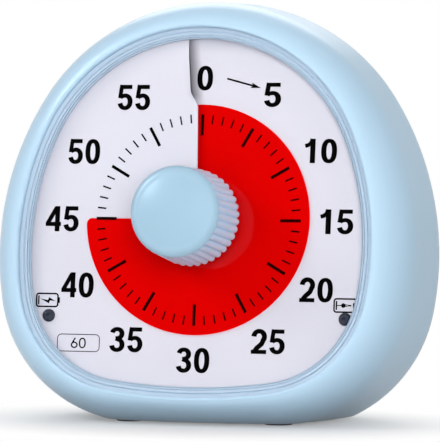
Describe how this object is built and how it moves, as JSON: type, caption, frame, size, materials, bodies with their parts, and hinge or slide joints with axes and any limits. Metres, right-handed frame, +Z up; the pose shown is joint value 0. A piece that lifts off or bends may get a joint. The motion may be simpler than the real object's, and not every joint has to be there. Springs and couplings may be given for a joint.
{
  "type": "visual countdown timer",
  "caption": "Desk countdown timer: rounded leaning housing, clear window, dial with a red film that a ribbed centre knob winds out through its slit.",
  "frame": {"origin": "centre of the bounding box at the height of the feet", "axes": "+Z up, the dial faces -Y and leans back by 8 degrees, +X to the right seen from the front"},
  "size_m": [0.148, 0.0794, 0.1412],
  "materials": {
    "housing": "satin",
    "knob": "satin",
    "lens": "polished",
    "dial": "matt",
    "film": "matt",
    "nylon": "matt",
    "steel": "satin",
    "brass": "satin",
    "lamp": "polished",
    "cell": "satin",
    "black_plastic": "matt",
    "board": "satin",
    "rubber": "matt"
  },
  "bodies": {
    "timer": {"front_housing": "housing", "rear_cover": "housing", "lens": "lens", "dial_sheet": "dial", "dial_seat": "nylon", "dial_carrier": "nylon", "spindle_bush": "brass", "idler_axle": "steel", "rear_plate": "nylon", "motor": "steel", "carrier_screws": "steel", "movement_screws": "steel", "charge_lamp": "lamp", "power_lamp": "lamp", "battery": "cell", "battery_tray": "black_plastic", "circuit_board": "board", "board_screws": "steel", "charge_socket": "steel", "volume_switch": "steel", "speaker": "black_plastic", "housing_screws": "steel", "feet": "rubber"},
    "winder": {"knob": "knob", "spindle": "steel", "spindle_clip": "steel", "spindle_gear": "nylon"},
    "film": {"red_film": "film", "film_hub": "film"},
    "idler": {"idler_gear": "nylon"},
    "motor_shaft": {"motor_pinion": "brass"},
    "slider": {"volume_slider": "black_plastic"}
  },
  "joints": [
    {"name": "knob_turn", "type": "hinge", "parent": "timer", "child": "winder", "pos_m": [0, -0.0091, 0.0684], "axis": [0, -0.9903, 0.1392], "range_deg": [-90, 275]},
    {"name": "film_drift", "type": "slide", "parent": "winder", "child": "film", "axis": [0, -0.9903, 0.1392], "range_m": [-0.00125, 0.00042]},
    {"name": "idler_turn", "type": "hinge", "parent": "timer", "child": "idler", "pos_m": [-0.01819, -0.01056, 0.058], "axis": [0, -0.9903, 0.1392], "range_deg": [-1105, 365]},
    {"name": "motor_turn", "type": "hinge", "parent": "timer", "child": "motor_shaft", "pos_m": [-0.01819, -0.0129, 0.04136], "axis": [0, -0.9903, 0.1392], "range_deg": [-1085, 3305]},
    {"name": "volume_slide", "type": "slide", "parent": "timer", "child": "slider", "axis": [1, 0, 0], "range_m": [-0.003, 0.003]}
  ],
  "couplings": [
    {"joint": "film_drift", "follows": "knob_turn", "m_per_rad": -0.00025465},
    {"joint": "idler_turn", "follows": "knob_turn", "ratio": -4},
    {"joint": "motor_turn", "follows": "knob_turn", "ratio": 12}
  ]
}
